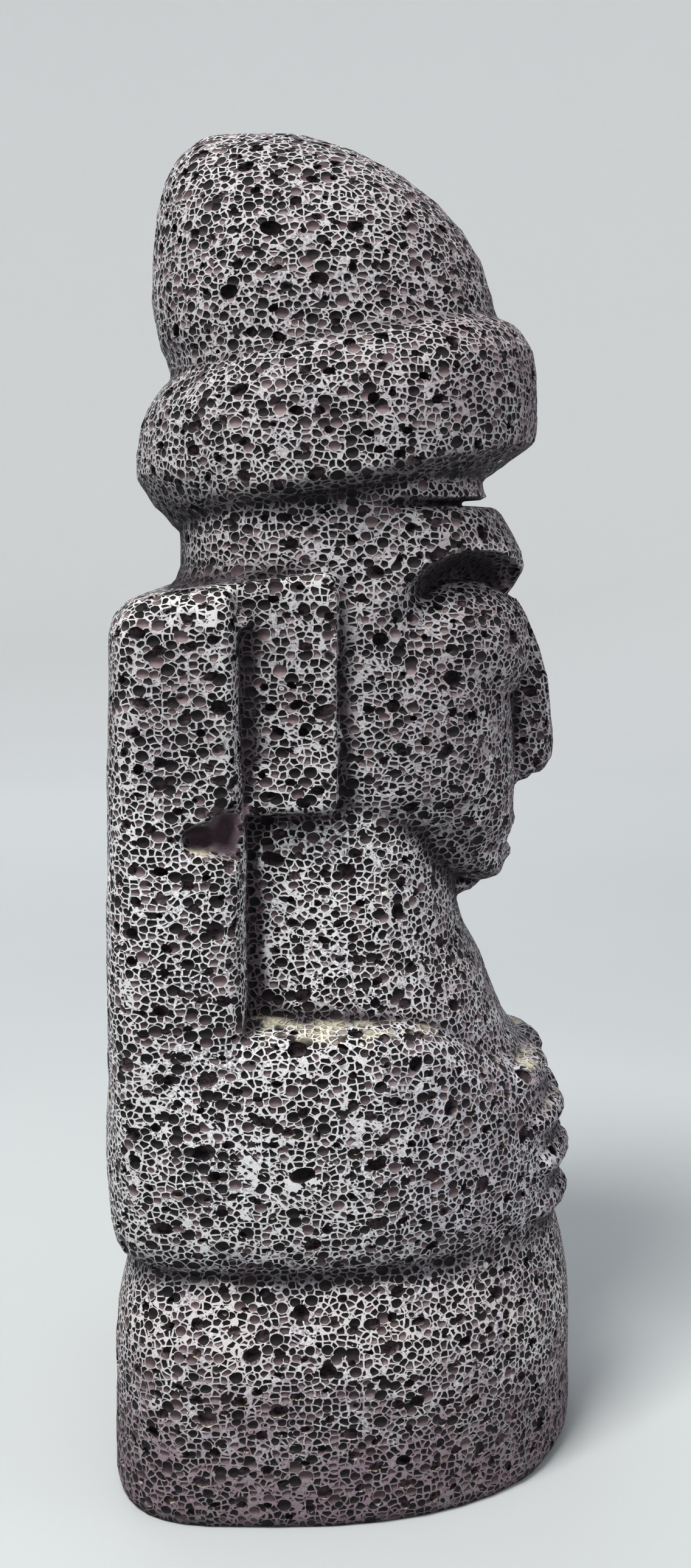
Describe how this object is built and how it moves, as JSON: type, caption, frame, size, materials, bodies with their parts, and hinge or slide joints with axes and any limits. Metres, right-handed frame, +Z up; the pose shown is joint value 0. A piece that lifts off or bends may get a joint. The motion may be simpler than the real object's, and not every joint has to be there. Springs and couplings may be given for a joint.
{
  "type": "dol hareubang statue",
  "caption": "Stone guardian figure with a domed hat, long ears and hands on its belly, carved in one piece with its low base.",
  "frame": {"origin": "centre of the underside that the figure stands on", "axes": "+Z up; the figure looks along -Y, so its right hand is at -X"},
  "size_m": [0.1058, 0.09, 0.2498],
  "materials": {
    "basalt": "vesicular basalt, carved and worn: matt grey walls round dark open pores, pale dust on ledges"
  },
  "bodies": {
    "root": {"statue": "basalt"}
  },
  "joints": []
}
